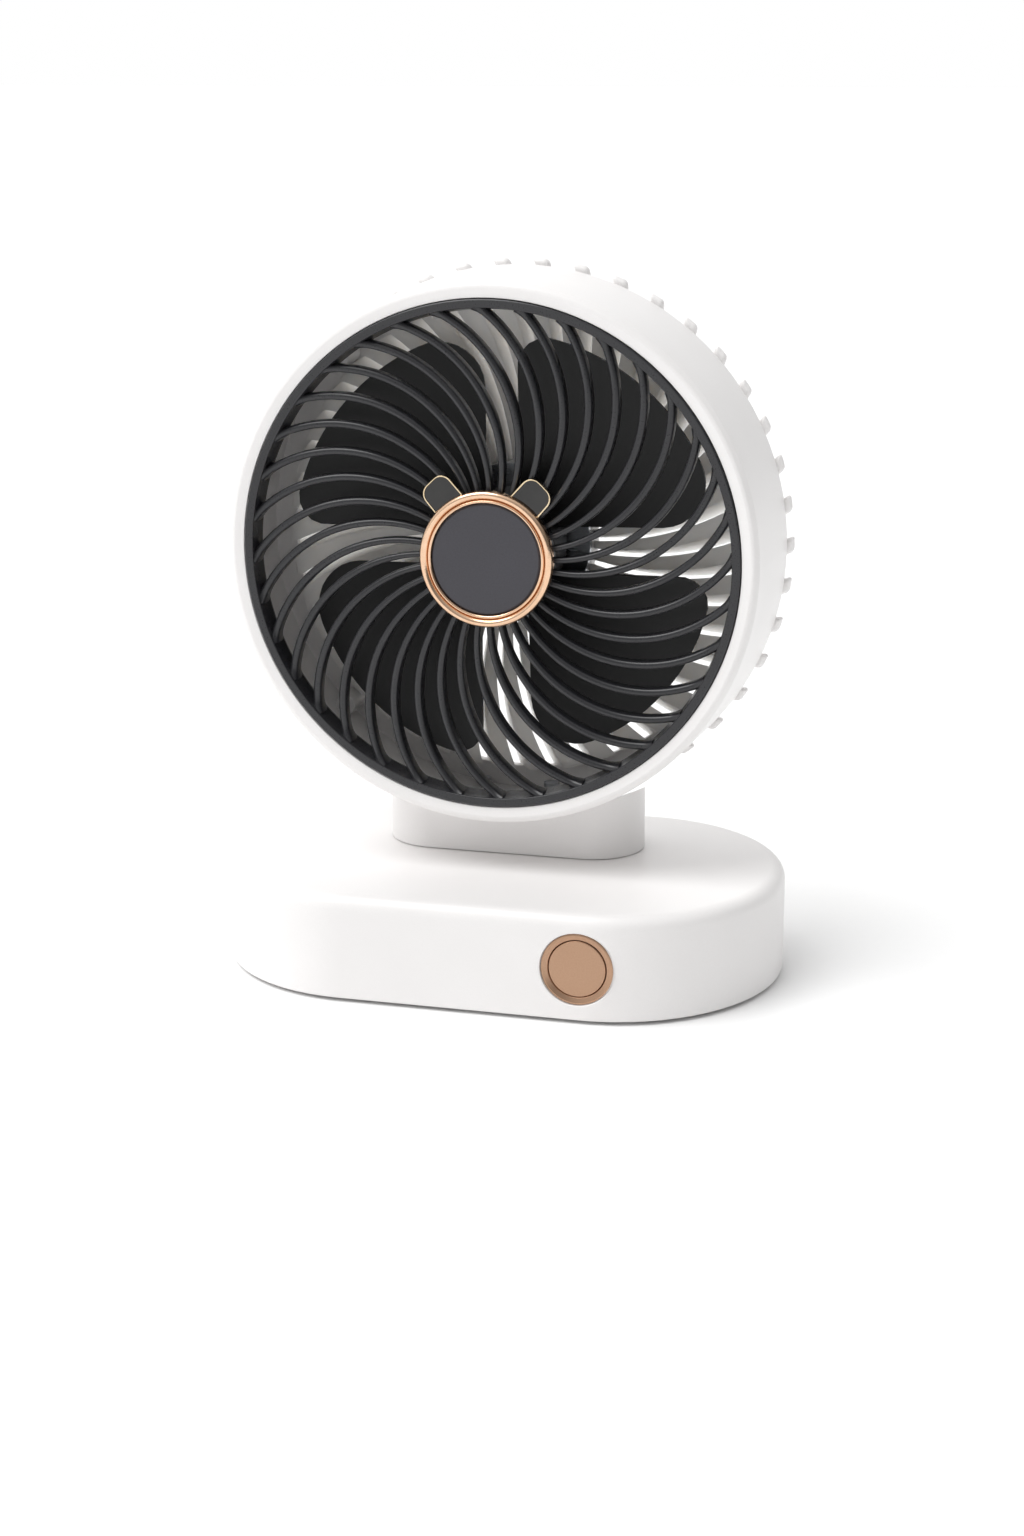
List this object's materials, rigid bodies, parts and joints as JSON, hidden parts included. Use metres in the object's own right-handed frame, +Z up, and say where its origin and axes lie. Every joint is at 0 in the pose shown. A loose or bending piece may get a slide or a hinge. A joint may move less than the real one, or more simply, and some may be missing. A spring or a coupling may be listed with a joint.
{
  "type": "desk fan",
  "caption": "Compact round desk fan: white drum head with a spiral charcoal grille, on a tilting and swivelling neck over a long rounded battery base with a front button.",
  "frame": {"origin": "middle of the base's footprint, on the surface that the feet rest on", "axes": "+X to the fan's right as seen from the front, -Y is the front that the air leaves by, +Z up"},
  "size_m": [0.19, 0.12, 0.233],
  "materials": {
    "white_casing": "satin moulded ABS",
    "charcoal_grille": "satin moulded charcoal ABS",
    "black_blades": "semi-matte black ABS",
    "grey_cap": "fine matte dark grey",
    "rose_gold": "satin rose gold",
    "pale_gold": "polished pale gold",
    "smoked_plastic": "smoked gloss",
    "rubber": "matt",
    "steel": "zinc-plated",
    "iron": "dark laminations",
    "copper": "enamelled copper wire",
    "brass": "turned",
    "battery_wrap": "shrink sleeve",
    "inner_plastic": "natural moulded plastic",
    "circuit_board": "solder mask"
  },
  "bodies": {
    "base": {"base_shell": "white_casing", "base_plate": "white_casing", "rubber_feet": "rubber", "base_screws": "steel", "ballast_plate": "steel", "battery_tray": "inner_plastic", "battery_cells": "battery_wrap", "board_posts": "inner_plastic", "charging_board": "circuit_board", "board_screws": "steel", "usb_socket": "steel", "button_bezel": "rose_gold", "button_switch": "inner_plastic", "switch_board": "circuit_board", "swivel_washer": "inner_plastic"},
    "power_button": {"button_cap": "rose_gold", "switch_plunger": "inner_plastic"},
    "neck": {"neck_shell": "white_casing", "swivel_plate": "inner_plastic", "neck_screws": "steel", "swivel_retainer": "inner_plastic", "retainer_screws": "steel", "tilt_bracket": "steel", "tilt_pin": "steel", "tilt_nut": "steel", "friction_washers": "rubber"},
    "head": {"head_shell": "white_casing", "head_foot": "white_casing", "foot_screws": "steel", "rear_cover": "white_casing", "cover_screws": "steel", "front_grille": "charcoal_grille", "trim_ring": "rose_gold", "hub_cap": "grey_cap", "tab_frames": "pale_gold", "tab_inlays": "smoked_plastic", "motor_mount": "steel", "motor_screws": "steel", "bearing_tube": "brass", "ball_bearings": "steel", "stator_core": "iron", "stator_coils": "copper", "motor_board": "circuit_board"},
    "fan": {"fan_blades": "black_blades", "motor_shaft": "steel", "rotor_cup": "steel", "rotor_magnet": "iron", "spinner_nut": "steel"}
  },
  "joints": [
    {"name": "button_press", "type": "slide", "parent": "base", "child": "power_button", "axis": [0, 1, 0], "range_m": [0, 0.0012], "stiffness_N_per_m": 600},
    {"name": "neck_swivel", "type": "hinge", "parent": "base", "child": "neck", "pos_m": [0, 0.017, 0.036], "axis": [0, 0, 1], "range_deg": [-40, 40]},
    {"name": "head_tilt", "type": "hinge", "parent": "neck", "child": "head", "pos_m": [0, 0.017, 0.0432], "axis": [-1, 0, 0], "range_deg": [-5, 15]},
    {"name": "fan_spin", "type": "hinge", "parent": "head", "child": "fan", "pos_m": [0, 0, 0.141], "axis": [0, -1, 0], "continuous": true}
  ]
}
